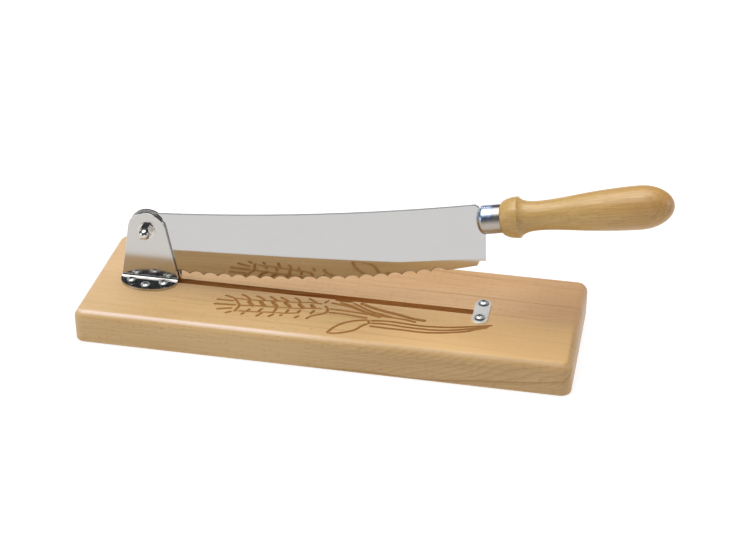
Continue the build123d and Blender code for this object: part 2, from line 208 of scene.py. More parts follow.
def effect(name, inputs, outputs):
    """Empty node group with its sockets, as (group, what comes in, what goes out)."""
    group = bpy.data.node_groups.new(name, "ShaderNodeTree")
    for label, kind, value in inputs:
        socket = group.interface.new_socket(label, in_out="INPUT", socket_type="NodeSocket" + kind)
        if value is not None:
            socket.default_value = value
    for label, kind in outputs:
        group.interface.new_socket(label, in_out="OUTPUT", socket_type="NodeSocket" + kind)
    return group, group.nodes.new("NodeGroupInput").outputs, group.nodes.new("NodeGroupOutput").inputs


def use(tree, group, **inputs):
    """Place a node group in a material."""
    return add(tree, "ShaderNodeGroup", {"node_tree": group}, **inputs).outputs


def finish_named(name):
    """New material as (material, tree, shader, object coordinates)."""
    material = bpy.data.materials.new(name)
    material.use_nodes = True
    tree = material.node_tree
    place = tree.nodes.new("ShaderNodeTexCoord").outputs["Object"]
    return material, tree, tree.nodes["Principled BSDF"], place


def bump(tree, shader, height, distance=1.0, strength=1.0):
    """Let a height ripple the surface, on top of any ripple it already has.

    The height is in metres, unless a distance says what 1 stands for.
    """
    made = add(tree, "ShaderNodeBump", Height=height, Distance=distance, Strength=strength)
    for link in shader.inputs["Normal"].links:
        tree.links.new(link.from_socket, made.inputs["Normal"])
    tree.links.new(made.outputs[0], shader.inputs["Normal"])


# %% [markdown]
# A pattern is arithmetic on a place: it is stretched, turned, split into its axes, looked
# up in a noise, and squeezed into a mask that mixes two colours. These helpers write such
# a line of nodes the way that one would say it.

# %% Helpers for patterns and colours
VECTOR = "ShaderNodeVectorMath"


def maths(tree, operation, *values, kind="ShaderNodeMath"):
    """Result of an operation on sockets, plain numbers or, with VECTOR, on vectors."""
    made = tree.nodes.new(kind)
    made.operation = operation
    for value, socket in zip(values, made.inputs):
        put(tree, value, socket)
    return made.outputs[0]


def product(tree, value, *others):
    """Masks and numbers multiplied one after another."""
    for other in others:
        value = maths(tree, "MULTIPLY", value, other)
    return value


def between(tree, value, low, high, to_low=0.0, to_high=1.0):
    """Value carried smoothly from one span to another and held at the ends."""
    made = add(tree, "ShaderNodeMapRange", {"interpolation_type": "SMOOTHSTEP"}, Value=value)
    feed(tree, made, From_Min=low, From_Max=high, To_Min=to_low, To_Max=to_high)
    return made.outputs[0]


def stretch(tree, place, waves):
    """Place multiplied along each axis, which packs a pattern or draws it out."""
    return maths(tree, "MULTIPLY", place, waves, kind=VECTOR)


def noise(tree, place, waves, detail, roughness=0.5):
    """Value of a noise with so many waves a metre along each axis."""
    made = add(tree, "ShaderNodeTexNoise", Vector=stretch(tree, place, waves), Scale=1.0)
    feed(tree, made, Detail=detail, Roughness=roughness)
    return made.outputs[0]


def axes_of(tree, vector):
    """The X, Y and Z of a vector."""
    made = add(tree, "ShaderNodeSeparateXYZ", Vector=vector)
    return made.outputs["X"], made.outputs["Y"], made.outputs["Z"]


def facing(tree, place):
    """The X, Y and Z of the way that the surface faces at a place."""
    return axes_of(tree, place.node.outputs["Normal"])


def turned(tree, place, slope, centre=(0, 0, 0)):
    """Place measured from a centre, its X along a piece that rises by a slope."""
    settings = {"vector_type": "TEXTURE"}
    made = add(tree, "ShaderNodeMapping", settings, Vector=place, Location=centre, Rotation=(0, -slope, 0))
    return made.outputs[0]


def mix_colours(tree, share, first, second):
    """Colour that goes from the first to the second as share goes from 0 to 1."""
    made = add(tree, "ShaderNodeMix", {"data_type": "RGBA"})
    factor, start, end = made.inputs[0], made.inputs[6], made.inputs[7]
    put(tree, share, factor)
    put(tree, first, start)
    put(tree, second, end)
    return made.outputs[2]


# %% [markdown]
# Beech is a pale, close wood. On a sawn board it shows faint growth rings as long lines
# along the grain. A picture of wood fits one face only, so this is a solid wood, with the
# tree's heart behind and below the board, and the top, the sides and the end grain agree.
# The rings come first: each year ends in a thin dark line, harder in some years, and lost
# here and there.

# %% Year rings
HEART_Y = 0.30
HEART_Z = -0.16
SWAY_WAVES = (3.0, 12.0, 12.0)       # how often the trunk wanders, a metre
SWAY_REACH = (0.0, 0.024, 0.024)     # and how far, in metres
RUN_OUT = 0.011          # how far the rings drift across the board towards its stop
RUN_OUT_SPAN = (-0.05, 0.25)
LATE_POWER = 9.0         # the higher, the thinner the line that ends a year
LATE_FADE = 0.96         # share of the year after which that line fades
PATCH_WAVES = (5.0, 60.0, 60.0)
PATCH_EDGE = (0.35, 0.62)
LOST_RING = 0.2          # what is left of a ring where it is lost
YEAR_EDGE = (0.25, 0.95)
SOFT_YEAR = 0.15         # strength of the rings of soft and of hard years
HARD_YEAR = 1.25


def swayed(tree, place):
    """Place carried along with the slow wander of the trunk."""
    sway = add(tree, "ShaderNodeTexNoise", Vector=stretch(tree, place, SWAY_WAVES), Scale=1.0, Detail=2.0)
    offset = maths(tree, "SUBTRACT", sway.outputs["Color"], (0.5, 0.5, 0.5), kind=VECTOR)
    return maths(tree, "MULTIPLY_ADD", offset, SWAY_REACH, place, kind=VECTOR)


def year_rings(tree, place, trunk, gap, streaks):
    """How dark the rings are at a place, from its place in the swayed trunk."""
    along, across, up = axes_of(tree, trunk)
    side = maths(tree, "ADD", across, between(tree, along, *RUN_OUT_SPAN, 0.0, RUN_OUT))
    across_square = maths(tree, "POWER", maths(tree, "SUBTRACT", side, HEART_Y), 2.0)
    up_square = maths(tree, "POWER", maths(tree, "SUBTRACT", up, HEART_Z), 2.0)
    age = maths(tree, "DIVIDE", maths(tree, "SQRT", maths(tree, "ADD", across_square, up_square)), gap)
    season = maths(tree, "FRACT", age)
    fade = between(tree, season, LATE_FADE, 1.0, 1.0, 0.0)
    late = product(tree, maths(tree, "POWER", season, LATE_POWER), fade)
    patchy = between(tree, noise(tree, place, PATCH_WAVES, 2.0), *PATCH_EDGE, LOST_RING, 1.0)
    year = add(tree, "ShaderNodeTexWhiteNoise", {"noise_dimensions": "1D"}, W=maths(tree, "FLOOR", age))
    hardness = between(tree, year.outputs["Value"], *YEAR_EDGE, SOFT_YEAR, HARD_YEAR)
    return product(tree, late, product(tree, patchy, hardness), streaks)


# %% [markdown]
# Rays run from the tree's heart to its bark, and a saw cuts them into short brown flecks.
# Each cell of a stretched cell pattern holds one fleck or none. Under rings and flecks
# lie a fine fibre and slow clouds of tone. One group puts it all out as a colour, a gloss
# and a relief, and the board, its burnt lines and the grip each use it in their own tones.

# %% Beech as a solid wood
RAY_CELLS = (170.0, 950.0, 950.0)    # cells a metre: long along the grain, narrow across
RAY_CHOSEN = (0.62, 0.7)             # cells whose random value is above this hold a fleck
RAY_EDGE = (0.42, 0.12)              # a fleck fades between these distances from its middle
FIBRE_WAVES = (22.0, 700.0, 700.0)
FINE_WAVES = (90.0, 2600.0, 2600.0)
CLOUD_WAVES = (5.0, 16.0, 16.0)
FIBRE_PART = 0.45
CLOUD_PART = 0.55
TONE_EDGE = (0.34, 0.66)
TONE_DEPTH = 0.62        # how far fibre and clouds go from the pale to the dark colour
RING_BROWN = 0.32        # how much of the flecks' brown a ring takes on
MOST_BROWN = 0.5


def ray_flecks(tree, trunk):
    """Mask of the short flecks where the wood's rays are cut."""
    wide = stretch(tree, trunk, RAY_CELLS)
    cells = add(tree, "ShaderNodeTexVoronoi", Vector=wide, Scale=1.0, Randomness=1.0)
    chance = add(tree, "ShaderNodeSeparateColor", Color=cells.outputs["Color"]).outputs[0]
    shape = between(tree, cells.outputs["Distance"], *RAY_EDGE)
    return product(tree, shape, between(tree, chance, *RAY_CHOSEN))


def make_beech():
    """Node group: wood whose grain runs along the X of the place that it is given."""
    tree, given, result = effect(
        "beech",
        [
            ("Place", "Vector", None),
            ("Pale", "Color", (0.60, 0.40, 0.22, 1)),
            ("Dark", "Color", (0.42, 0.24, 0.10, 1)),
            ("Fleck", "Color", (0.26, 0.13, 0.05, 1)),
            ("Ring Gap", "Float", 0.006),
            ("Streaks", "Float", 0.5),
            ("Flecks", "Float", 0.6),
        ],
        [("Colour", "Color"), ("Gloss", "Float"), ("Relief", "Float")],
    )
    place = given["Place"]
    trunk = swayed(tree, place)
    ring = year_rings(tree, place, trunk, given["Ring Gap"], given["Streaks"])
    fleck = product(tree, ray_flecks(tree, trunk), given["Flecks"])
    fibre = noise(tree, place, FIBRE_WAVES, 4.0, 0.62)
    fine = noise(tree, place, FINE_WAVES, 2.0)
    cloud = noise(tree, place, CLOUD_WAVES, 2.0)
    tone = maths(tree, "ADD", product(tree, fibre, FIBRE_PART), product(tree, cloud, CLOUD_PART))
    tone = between(tree, tone, *TONE_EDGE)
    share = maths(tree, "ADD", product(tree, tone, TONE_DEPTH), ring)
    brown = maths(tree, "MINIMUM", product(tree, ring, RING_BROWN), MOST_BROWN)
    wood = mix_colours(tree, share, given["Pale"], given["Dark"])
    wood = mix_colours(tree, brown, wood, given["Fleck"])
    wood = mix_colours(tree, fleck, wood, given["Fleck"])
    relief = maths(tree, "SUBTRACT", maths(tree, "ADD", fibre, product(tree, fine, 0.5)), fleck)
    feed(tree, result[0].node, Colour=wood, Gloss=tone, Relief=relief)
    return tree


beech = make_beech()
print("beech group has", len(beech.nodes), "nodes")


# %% [markdown]
# Handled surfaces are never evenly glossy. Fingers, wiping and storage leave dull clouds
# and the odd fine scratch. This second group gives a mask and a relief for that, used on
# every metal and on the plastic, so that no surface is left as one flat value.

# %% Wear and polish
SMEAR_WAVES = (38.0, 38.0, 52.0)
SMEAR_EDGE = (0.45, 0.75)
SCRATCH_WAVES = (60.0, 2400.0, 1900.0)       # long along a piece, a hair wide across it
SCRATCH_EDGE = (0.60, 0.74)


def make_wear():
    """Node group: soft smears and fine scratches, as a mask and a relief."""
    tree, given, result = effect(
        "wear",
        [("Place", "Vector", None), ("Smears", "Float", 0.5), ("Scratches", "Float", 0.5)],
        [("Mask", "Float"), ("Relief", "Float")],
    )
    smear = between(tree, noise(tree, given["Place"], SMEAR_WAVES, 4.0, 0.6), *SMEAR_EDGE)
    lines = noise(tree, given["Place"], SCRATCH_WAVES, 3.0, 0.7)
    scratch = product(tree, between(tree, lines, *SCRATCH_EDGE), given["Scratches"])
    mask = maths(tree, "ADD", product(tree, smear, given["Smears"]), scratch)
    feed(tree, result[0].node, Mask=maths(tree, "MINIMUM", mask, 1.0), Relief=lines)
    return tree


wear = make_wear()
print("wear group has", len(wear.nodes), "nodes")

# %% [markdown]
# No board is one tone all over. Its pivot end is paler on top, partly paler wood and partly
# painted light; its stop end is golden; its far corner is darker, partly darker wood and
# partly painted shade. The rounded front edge has a painted highlight at one end and
# painted brown shade at the other. The front lip is cut across the rings at the stop's end,
# where they climb the face as slanting lines. All this could be painted on as a picture.
# Here each is a mask on the place and on the way that the surface faces, so it has no seams
# and stays sharp at any size.

# %% Uneven tints and painted light and shade of the board
FRONT_FACE_Y = -0.065
SKIN = (0.004, 0.001)    # how far behind the front face its lines start and are full
SLANT = -0.34            # how steeply they climb
SLANT_WAVES = (9.0, 1.0, 30.0)
SLANT_WANDER = 0.03
SLANT_GAP = 0.0036
SLANT_SPAN = (-0.03, 0.05)
# Paler top at the pivot end: partly paler wood, partly painted light where the top is lit brightest.
PIVOT_WOOD_AND_LIGHT_TINT = (0.78, 0.55, 0.31, 1)
GOLDEN_TINT = (0.88, 0.56, 0.25, 1)
# Darker far corner: partly darker wood, partly painted shade.
CORNER_WOOD_AND_SHADE_TINT = (0.48, 0.27, 0.125, 1)
# Painted highlight on the rounded front edge, strongest towards the pivot end.
EDGE_HIGHLIGHT_TINT = (0.88, 0.70, 0.64, 1)
# Painted shade on the rounded front edge towards the stop end.
EDGE_SHADE_TINT = (0.50, 0.31, 0.14, 1)


def slanting_rings(tree, place):
    """Mask of the ring lines that climb the board's front face towards the stop."""
    along, across, up = axes_of(tree, place)
    wander = product(tree, noise(tree, place, SLANT_WAVES, 2.0), SLANT_WANDER)
    level = maths(tree, "ADD", maths(tree, "ADD", up, product(tree, along, SLANT)), wander)
    season = maths(tree, "FRACT", maths(tree, "DIVIDE", level, SLANT_GAP))
    reach = between(tree, along, *SLANT_SPAN)
    skin = between(tree, across, FRONT_FACE_Y + SKIN[0], FRONT_FACE_Y + SKIN[1])
    return product(tree, maths(tree, "POWER", season, 2.0), reach, skin)


def tints_and_painted_light(tree, place, colour):
    """Colour with tints and painted light and shade laid over it, by where it is in metres and how it faces.
    """
    along, across, _ = axes_of(tree, place)
    _, forwards, upwards = facing(tree, place)
    round_edge = product(
        tree,
        between(tree, upwards, 0.99, 0.93),
        between(tree, upwards, 0.68, 0.90),
        between(tree, forwards, -0.08, -0.25),
    )
    stop_end = product(
        tree,
        between(tree, along, 0.0, 0.11),
        between(tree, across, 0.005, -0.03, 0.0, 0.60),
    )
    far_corner = product(
        tree,
        between(tree, along, 0.12, 0.19),
        between(tree, across, -0.02, 0.02, 0.0, 0.42),
    )
    pivot_end = between(tree, along, -0.12, -0.19, 0.0, 0.45)
    # The pivot end's and far corner's tints are partly the wood's tone and partly painted light and shade;
    # the rounded edge gets a painted highlight and painted shade.
    tints = [
        (PIVOT_WOOD_AND_LIGHT_TINT, product(tree, pivot_end, between(tree, upwards, 0.5, 0.9))),
        (GOLDEN_TINT, product(tree, stop_end, between(tree, upwards, 0.86, 0.99))),
        (CORNER_WOOD_AND_SHADE_TINT, far_corner),
        (EDGE_HIGHLIGHT_TINT, product(tree, round_edge, between(tree, along, -0.06, 0.03, 0.60, 0.0))),
        (EDGE_SHADE_TINT, product(tree, round_edge, between(tree, along, 0.0, 0.10, 0.0, 0.40))),
    ]
    for tint, mask in tints:
        colour = mix_colours(tree, mask, colour, tint)
    return colour


# %% [markdown]
# The board's wood is planed and oiled, so it has a low, broad sheen that shows mostly on
# the rounded edges. It is a little pinker behind the slot than in front, and its rings
# grow stronger towards the stop. The routed slot is scorched by the cutter and much
# darker, and the carved lines are burnt to a mid brown. Both are the same wood in darker
# tones with some char over it.

# %% Board finishes
FRONT_PALE = (0.660, 0.435, 0.203, 1)
BACK_PALE = (0.725, 0.462, 0.248, 1)
FRONT_DARK = (0.495, 0.288, 0.106, 1)
BACK_DARK = (0.535, 0.296, 0.127, 1)
FRONT_TO_BACK = (-0.035, 0.015)
STREAK_SPAN = (-0.08, 0.12)
STREAK_STRENGTH = (0.50, 1.30)
OIL_ROUGHNESS = (0.34, 0.44)
SLANT_BROWN = (0.40, 0.235, 0.105, 1)
SLANT_DEPTH = 0.46
CHAR_WAVES = (220.0, 220.0, 700.0)
CHAR_EDGE = (0.3, 0.75)
CHAR_DEPTH = 0.45
GRAIN_RELIEF = 0.00005   # how deep the open grain is, in metres
CHAR_RELIEF = 0.0001
LINE_PALE = (0.44, 0.215, 0.064, 1)
LINE_DARK = (0.31, 0.136, 0.035, 1)
SLOT_PALE = (0.50, 0.195, 0.045, 1)
SLOT_DARK = (0.33, 0.115, 0.022, 1)


def oiled_beech():
    """Planed beech, golden in front and pinker behind, with its tints, painted light and shade, and slanting
    rings.
    """
    material, tree, shader, place = finish_named("oiled_beech")
    along, across, _ = axes_of(tree, place)
    back = between(tree, across, *FRONT_TO_BACK)
    pale = mix_colours(tree, back, FRONT_PALE, BACK_PALE)
    dark = mix_colours(tree, back, FRONT_DARK, BACK_DARK)
    streaks = between(tree, along, *STREAK_SPAN, *STREAK_STRENGTH)
    wood = use(tree, beech, Place=place, Pale=pale, Dark=dark, Flecks=0.36, Streaks=streaks)
    slanted = product(tree, slanting_rings(tree, place), SLANT_DEPTH)
    colour = tints_and_painted_light(tree, place, mix_colours(tree, slanted, wood["Colour"], SLANT_BROWN))
    sheen = between(tree, wood["Gloss"], 0.0, 1.0, *OIL_ROUGHNESS)
    feed(tree, shader, Base_Color=colour, Roughness=sheen, Specular_IOR_Level=0.42)
    bump(tree, shader, wood["Relief"], GRAIN_RELIEF, 0.30)
    return material


def burnt_beech(name, pale, dark, roughness):
    """Darker, duller beech where a cutter has been."""
    material, tree, shader, place = finish_named(name)
    wood = use(tree, beech, Place=place, Pale=pale, Dark=dark, Flecks=0.2, Streaks=0.4)
    char = between(tree, noise(tree, place, CHAR_WAVES, 3.0), *CHAR_EDGE, 0.0, CHAR_DEPTH)
    colour = mix_colours(tree, char, wood["Colour"], dark)
    dull = between(tree, char, 0.0, CHAR_DEPTH, roughness, roughness + 0.15)
    feed(tree, shader, Base_Color=colour, Roughness=dull, Specular_IOR_Level=0.15)
    bump(tree, shader, wood["Relief"], CHAR_RELIEF, 0.5)
    return material


board_finish = oiled_beech()
carved_finish = burnt_beech("burnt_line", LINE_PALE, LINE_DARK, roughness=0.6)
slot_finish = burnt_beech("scorched_slot", SLOT_PALE, SLOT_DARK, roughness=0.7)
print("board finishes:", board_finish.name, carved_finish.name, slot_finish.name)

# %% [markdown]
# The wheat ear is cut with a small round-nosed cutter, so each line is a groove of one
# width that runs out where the cutter is lifted. It could be painted on in the material,
# but a real groove catches the light along one lip and shades the other. So each line is
# drawn as a curve along the board's top, given a round section that thins at its ends,
# and made a mesh. All of them together are then taken out of the board.

# %% How one line is cut
TOP = 28.0               # height of the board's top, in mm
CUTTER_RADIUS = 1.42
CUTTER_LIFT = 0.5        # how far the cutter's centre stays above the wood
BOLD = 1.42              # how much wider the heavy lines are
RUN_IN = 1.3             # length over which the cutter sinks in or comes out
RUN_IN_SHARE = 0.4       # but no more than this share of a short line's first stretch
LIFTED = 0.55            # what is left of the radius at a line's ends
BEND_STEPS = 5           # pieces that each stretch is bent in
ROUND_STEPS = 2          # roundness of the rod's section


def beyond(first, second):
    """Point (x, y) a run-in past the first point, towards the second."""
    part = min(RUN_IN / math.dist(first, second), RUN_IN_SHARE)
    return tuple(a + (b - a) * part for a, b in zip(first, second))


def groove(points, size=1.0):
    """Round rod that follows points (x, y in mm) along the board's top."""
    bpy.ops.object.select_all(action="DESELECT")
    bpy.ops.curve.primitive_bezier_curve_add()
    rod = bpy.context.object
    spline = rod.data.splines[0]
    route = [points[0], beyond(points[0], points[1])]
    route += points[1:-1]
    route += [beyond(points[-1], points[-2]), points[-1]]
    spline.bezier_points.add(len(route) - len(spline.bezier_points))
    for index, (x, y) in enumerate(route):
        point = spline.bezier_points[index]
        point.co = (x * MM, y * MM, (TOP + CUTTER_LIFT) * MM)
        point.handle_left_type = "AUTO"
        point.handle_right_type = "AUTO"
        at_end = index in (0, len(route) - 1)
        point.radius = CUTTER_RADIUS * size * (LIFTED if at_end else 1.0)
    spline.resolution_u = BEND_STEPS
    rod.data.bevel_depth = MM        # so that a point's radius is in mm
    rod.data.bevel_resolution = ROUND_STEPS
    rod.data.use_fill_caps = True
    bpy.ops.object.convert(target="MESH")
    return bpy.context.object


# %% [markdown]
# The ear has five awns at its left end, a row of short hooked strokes either side of its
# spine, and three long lines that tie the strokes together.

# %% Lines of the ear
EAR_LINES = [
    [(-86.2, -16.3), (-77.8, -18.9)],
    [(-91.6, -23.6), (-76.6, -23.4)],
    [(-92.1, -30.7), (-73.5, -28.9)],
    [(-87.8, -37.8), (-75.2, -33.9)],
    [(-79.5, -42.2), (-74.5, -38.4)],
    [(-77.8, -18.9), (-73.8, -24.2), (-70.9, -29.3), (-71.6, -34.1), (-72.6, -38.9)],
    [(-73.5, -12.8), (-69.3, -14.4), (-64.0, -19.0)],
    [(-61.6, -12.4), (-57.6, -13.9), (-52.1, -17.5)],
    [(-50.0, -11.0), (-45.9, -13.9), (-42.1, -16.9)],
    [(-41.6, -10.7), (-38.2, -12.4), (-33.4, -15.2)],
    [(-29.9, -9.1), (-26.8, -11.2), (-23.2, -15.3)],
    [(-18.8, -8.0), (-15.2, -9.9), (-10.3, -13.8)],
    [(-61.1, -32.0), (-63.1, -37.5)],
    [(-51.1, -29.5), (-54.1, -35.2)],
    [(-40.4, -25.9), (-41.6, -35.0)],
    [(-30.5, -27.2), (-32.1, -34.0)],
    [(-20.9, -26.0), (-23.3, -31.8)],
    [(-10.0, -23.8), (-12.4, -30.6)],
    [(-63.9, -38.5), (-66.5, -41.8)],
    [(-50.0, -35.7), (-54.0, -42.5)],
    [(-40.4, -35.7), (-44.6, -41.1)],
    [(-33.5, -35.2), (-35.9, -38.0)],
    [(-20.2, -34.4), (-23.7, -38.7)],
    [(-1.9, -7.3), (-4.8, -12.7)],
    [(-3.4, -16.1), (-0.6, -19.8), (0.2, -24.4), (-3.9, -28.9), (-10.9, -33.2), (-14.3, -38.3)],
]
EAR_TIES = [
    [(-77.7, -19.4), (-59.9, -19.1), (-39.2, -16.4), (-24.2, -15.7), (-17.1, -14.1), (-5.6, -13.9)],
    [(-70.4, -29.2), (-57.8, -27.1), (-37.0, -25.3), (-22.1, -24.1), (-16.3, -22.4), (-4.0, -21.0)],
    [(-70.3, -37.1), (-59.4, -36.3), (-44.8, -34.3), (-30.1, -32.7), (-20.7, -30.3)],
]
EAR_HOOKS = [
    [(-65.5, -20.7), (-62.3, -25.2), (-59.3, -28.8)],
    [(-56.5, -18.4), (-53.2, -23.4), (-50.0, -26.9)],
    [(-46.5, -17.8), (-43.0, -22.3), (-40.2, -25.5)],
    [(-36.5, -17.2), (-32.5, -21.1), (-29.8, -23.8)],
    [(-24.7, -17.2), (-21.6, -20.8), (-18.9, -23.5)],
    [(-14.9, -16.3), (-12.8, -19.1), (-10.2, -21.4)],
]
TIE_SIZE = 0.80          # the long lines are cut thinner

strokes = [groove(line) for line in EAR_LINES]
strokes += [groove(line, TIE_SIZE) for line in EAR_TIES]
strokes += [groove(line, BOLD) for line in EAR_HOOKS]
print("ear lines:", len(strokes))

# %% [markdown]
# Below the ear the straw fans out to the right, one leaf hangs towards the user, and the
# stalk runs on to the board's right end. The cutter has also nicked the slot's front lip.

# %% Lines of the straw, leaf and stalk
STRAW_LINES = [
    [(1.5, -25.2), (14.1, -25.3), (25.7, -26.6), (33.8, -27.1)],
    [(0.9, -20.0), (10.1, -20.3), (18.8, -20.7), (33.3, -22.0)],
    [(0.6, -11.0), (6.6, -12.0), (14.3, -13.3), (23.6, -16.5), (36.2, -22.4), (44.0, -24.5)],
    [(7.1, -9.2), (18.1, -12.3), (26.6, -17.0), (41.8, -21.8), (62.8, -23.7), (72.7, -25.9)],
    [(17.7, -7.6), (26.3, -12.8), (35.2, -17.4), (44.2, -19.8), (53.2, -22.7)],
    [(6.3, -54.2), (10.5, -45.2), (16.8, -37.8), (24.3, -33.2), (34.4, -30.1)],
    [(6.3, -54.2), (12.4, -54.0), (19.6, -51.0), (27.0, -46.0), (31.7, -38.9), (35.4, -35.1)],
    [(34.9, -30.0), (36.6, -35.3)],
    [
        (36.7, -30.7), (48.8, -28.8), (63.9, -29.5), (75.8, -30.3),
        (87.4, -29.6), (104.4, -26.7), (118.4, -22.8), (132.3, -18.4),
    ],
    [
        (37.4, -34.1), (49.6, -33.2), (64.8, -34.2), (79.5, -34.4),
        (91.0, -33.7), (104.0, -30.8), (118.0, -25.8), (130.0, -20.6),
    ],
    [
        (37.2, -38.3), (50.7, -38.7), (65.6, -38.8), (77.4, -39.1),
        (88.8, -37.9), (102.8, -34.5), (113.8, -30.7), (121.8, -25.9), (128.8, -22.6),
    ],
]
BOLD_STRAW = [(23.9, -6.9), (33.9, -11.3), (46.1, -15.2), (58.4, -18.0), (68.2, -21.0), (79.7, -22.5)]
LIP_NICK = [(2.3, -2.6), (8.5, -3.4), (13.0, -3.5), (17.7, -2.6)]
NICK_SIZE = 3.2

strokes += [groove(line) for line in STRAW_LINES]
strokes.append(groove(BOLD_STRAW, BOLD))
strokes.append(groove(LIP_NICK, NICK_SIZE))
print("all lines:", len(strokes))

# %% [markdown]
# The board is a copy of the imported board, its loose triangles merged into one skin. The
# slot's walls and floor are found by their place and get the scorched finish, and all
# the rest is oiled beech.

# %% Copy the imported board
MERGE_DISTANCE = 0.000001
SLOT_LEFT, SLOT_RIGHT = -158.5, 119.0        # a box round the slot's faces, in mm
SLOT_FRONT, SLOT_BACK = -5.7, 1.7
SLOT_LOW, SLOT_HIGH = 1.0, TOP - 0.05


def only(piece):
    """Select one object and make it the active one."""
    bpy.ops.object.select_all(action="DESELECT")
    piece.select_set(True)
    bpy.context.view_layer.objects.active = piece


def copy_of(node, name):
    """Free copy of a CAD node with its own merged mesh."""
    piece = parts[node].copy()
    piece.data = parts[node].data.copy()
    piece.name = name
    piece.parent = None
    for key in list(piece.keys()):
        del piece[key]
    bpy.context.collection.objects.link(piece)
    only(piece)
    bpy.ops.object.mode_set(mode="EDIT")
    bpy.ops.mesh.select_all(action="SELECT")
    bpy.ops.mesh.remove_doubles(threshold=MERGE_DISTANCE)
    bpy.ops.object.mode_set(mode="OBJECT")
    return piece


board = copy_of("base_board", "carved_board")
board.data.materials.clear()
board.data.materials.append(board_finish)
board.data.materials.append(slot_finish)
for face in board.data.polygons:
    x, y, z = face.center / MM
    inside = SLOT_LEFT < x < SLOT_RIGHT and SLOT_FRONT < y < SLOT_BACK and SLOT_LOW < z < SLOT_HIGH
    face.material_index = 1 if inside else 0
print("plain board:", len(board.data.polygons), "faces")

# %% [markdown]
# The grooves are joined into one cutter and taken away from the board with a boolean,
# which also hands its burnt finish to the new faces. The strokes cross each other, so
# the boolean has to be the exact one, and to allow for a cutter that meets itself.

# %% Carve the board
bpy.ops.object.select_all(action="DESELECT")
for stroke in strokes:
    stroke.select_set(True)
bpy.context.view_layer.objects.active = strokes[0]
bpy.ops.object.join()
cutter = bpy.context.object
cutter.data.materials.clear()
cutter.data.materials.append(carved_finish)

only(board)
carving = board.modifiers.new("carving", "BOOLEAN")
carving.operation = "DIFFERENCE"
carving.solver = "EXACT"
carving.use_self = True
carving.material_mode = "TRANSFER"
carving.object = cutter
bpy.ops.object.modifier_apply(modifier=carving.name)
bpy.data.objects.remove(cutter)
print("carved board:", len(board.data.polygons), "faces,", [slot.name for slot in board.data.materials])

# %% [markdown]
# The cut leaves long thin faces round each groove, which would shade in streaks. So the
# normals are weighted by the faces' size. Along the grooves' rims that still tilts the
# flat top a little, which its low sheen would show, so the flat faces are selected and
# set the normals of all their corners.

# %% Even out the board's shading
EDGE_ANGLE = math.radians(35)
FULL_WEIGHT = 100
LEVEL = 0.9999           # a flat face's normal has at least this Z
TOP_MARGIN = 0.01        # and the face lies no further than this below the top, in mm

bpy.ops.object.shade_smooth_by_angle(angle=EDGE_ANGLE)
even = board.modifiers.new("even", "WEIGHTED_NORMAL")
even.mode = "FACE_AREA"
even.weight = FULL_WEIGHT
even.keep_sharp = True
bpy.ops.object.modifier_apply(modifier=even.name)
bpy.ops.object.mode_set(mode="EDIT")
bpy.ops.mesh.select_mode(type="FACE")
bpy.ops.mesh.select_all(action="DESELECT")
bpy.ops.object.mode_set(mode="OBJECT")
for face in board.data.polygons:
    face.select = face.normal.z > LEVEL and face.center.z > (TOP - TOP_MARGIN) * MM
bpy.ops.object.mode_set(mode="EDIT")
bpy.ops.mesh.set_normals_from_faces(keep_sharp=True)
bpy.ops.object.mode_set(mode="OBJECT")
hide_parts("base_board")
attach(board, "base")
print("flat faces:", sum(face.select for face in board.data.polygons))

# %% [markdown]
# Polished steel takes nearly all of its look from what it mirrors. Its colour is a grey
# held below white, so that the white table shows in it as light grey. Fine polishing
# lines and a few dull smears keep the mirror from looking like glass. The real fork's
# plates splay a few degrees towards their feet, and here they stand upright. So a slope
# is added to their bump, which leans what they mirror without moving the metal. Inside
# its top, where the blade and the spacers rub, the fork is dull.

# %% Fork finish
FORK_GREY = (0.512, 0.492, 0.468, 1)
FORK_SMEARED = (0.46, 0.450, 0.435, 1)
FORK_POLISH = (0.15, 0.21)
FORK_LEAN = math.tan(math.radians(4.5))      # slope that its reflections follow
BLADE_Y = -0.002         # middle of the blade's thickness
INNER_FACE = (0.0021, 0.0017)        # how far from there the fork's inner faces lie
RUBBED_HEIGHT = (0.074, 0.084)
RUBBED_ROUGHNESS = 0.5
RUBBED_AWAY = 0.7        # how much of the metal's mirror is lost there
BOUNCE_ROUGHNESS = 0.5
LINE_RELIEF = 0.00001    # depth of the polishing lines, in metres


def polish(tree, shader, roughness):
    """Roughness, kept high for light on its way to a matt surface: no stray glints."""
    paths = tree.nodes.new("ShaderNodeLightPath")
    spread = product(tree, paths.outputs["Is Diffuse Ray"], BOUNCE_ROUGHNESS)
    feed(tree, shader, Roughness=maths(tree, "MAXIMUM", roughness, spread))


def fork_steel():
    """Satin mirror that leans as splayed plates do, and is rubbed dull inside their top."""
    material, tree, shader, place = finish_named("mirror_steel")
    worn = use(tree, wear, Place=place, Smears=0.35, Scratches=0.25)
    colour = mix_colours(tree, worn["Mask"], FORK_GREY, FORK_SMEARED)
    _, across, height = axes_of(tree, place)
    from_blade = maths(tree, "ABSOLUTE", maths(tree, "SUBTRACT", across, BLADE_Y))
    rubbed = product(tree, between(tree, from_blade, *INNER_FACE), between(tree, height, *RUBBED_HEIGHT))
    satin = between(tree, worn["Mask"], 0, 1, *FORK_POLISH)
    polish(tree, shader, maths(tree, "MAXIMUM", satin, product(tree, rubbed, RUBBED_ROUGHNESS)))
    metal = maths(tree, "SUBTRACT", 1.0, product(tree, rubbed, RUBBED_AWAY))
    feed(tree, shader, Base_Color=colour, Metallic=metal)
    bump(tree, shader, product(tree, height, -FORK_LEAN))
    bump(tree, shader, worn["Relief"], LINE_RELIEF, 0.2)
    return material


fork_finish = fork_steel()
print("fork finish:", fork_finish.name)
